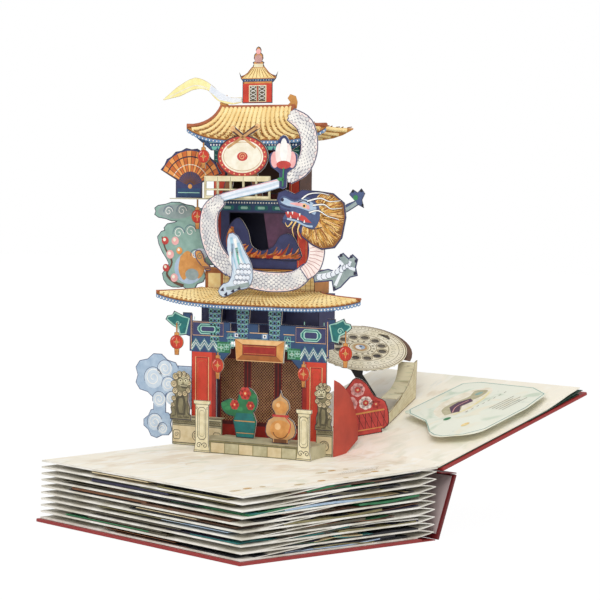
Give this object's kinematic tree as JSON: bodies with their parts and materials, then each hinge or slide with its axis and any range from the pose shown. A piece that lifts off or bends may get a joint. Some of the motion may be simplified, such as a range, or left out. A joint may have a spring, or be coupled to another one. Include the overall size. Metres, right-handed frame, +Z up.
{
  "type": "pop-up childrens book",
  "caption": "Open pop-up book: a red case and a pile of folded card spreads, with a paper palace, a dragon and a turning sky dial standing on the open spread",
  "frame": {"origin": "on the front cover's underside, below the middle of the left page", "axes": "+X from the fore-edge of the pile to the gutter, +Y along the spine from tail to head, +Z up"},
  "size_m": [0.487, 0.3376, 0.4703],
  "materials": {
    "case_red": "satin",
    "case_dark_red": "satin",
    "joint_cloth": "matte",
    "page_paper": "matte",
    "lining_paper": "matte",
    "endpaper_green": "matte",
    "stone_card": "matte",
    "ivory_card": "matte",
    "blue_card": "matte",
    "navy_card": "matte",
    "red_card": "matte",
    "dark_red_card": "matte",
    "gold_card": "matte",
    "tile_card": "matte",
    "cloud_card": "matte",
    "scale_card": "matte",
    "teal_card": "matte",
    "pink_card": "matte",
    "mauve_card": "matte",
    "wood_card": "matte"
  },
  "bodies": {
    "left_half": {"front_cover": "case_red", "spine_board": "case_dark_red", "spine_lining": "lining_paper", "back_joint_cloth": "joint_cloth", "page_block": "page_paper", "terrace": "stone_card", "stair": "stone_card", "newel_left": "ivory_card", "newel_right": "ivory_card", "lion_left": "stone_card", "lion_right": "stone_card", "gate_front": "blue_card", "name_board": "gold_card", "lattice_doors": "dark_red_card", "side_wall": "red_card", "lantern_gate_left": "red_card", "lantern_gate_right": "red_card", "lantern_post_left": "red_card", "lantern_post_right": "red_card", "lantern_deck": "red_card", "lantern_eave": "red_card", "lower_roof": "tile_card", "roof_box": "navy_card", "roof_hood": "gold_card", "stage_box": "blue_card", "stage_curtain": "mauve_card", "stage_jars": "cloud_card", "deck": "cloud_card", "balcony_rail": "ivory_card", "hall_box": "red_card", "top_roof": "tile_card", "eave_brackets": "blue_card", "cupola": "tile_card", "streamer": "ivory_card", "cloud_low": "cloud_card", "cloud_high": "cloud_card", "dragon_upper": "scale_card", "dragon_sweep": "cloud_card", "dragon_left": "scale_card", "dragon_belly": "scale_card", "dragon_neck": "scale_card", "dragon_head": "gold_card", "dragon_claw_high": "teal_card", "dragon_claw_right": "navy_card", "dragon_foreleg": "cloud_card", "peony_pot": "teal_card", "gourd_bottle": "ivory_card", "drum": "gold_card", "folding_fan": "gold_card", "lotus": "pink_card"},
    "right_half": {"back_cover": "case_red", "endpaper": "endpaper_green", "right_page": "page_paper", "story_leaf": "page_paper", "peony_basket": "pink_card", "dial_face": "ivory_card", "dial_carrier": "wood_card", "dial_wall": "ivory_card", "dial_legs": "wood_card"},
    "wheel": {"dial_wheel": "wood_card"}
  },
  "joints": [
    {"name": "back_cover_hinge", "type": "hinge", "parent": "left_half", "child": "right_half", "pos_m": [0.1295, 0, 0.0675], "axis": [0, -1, 0], "range_deg": [-17, 6]},
    {"name": "dial_turn", "type": "hinge", "parent": "right_half", "child": "wheel", "pos_m": [0.24311, 0.073, 0.16632], "axis": [-0.2663, -0.3156, 0.9107], "continuous": true}
  ]
}
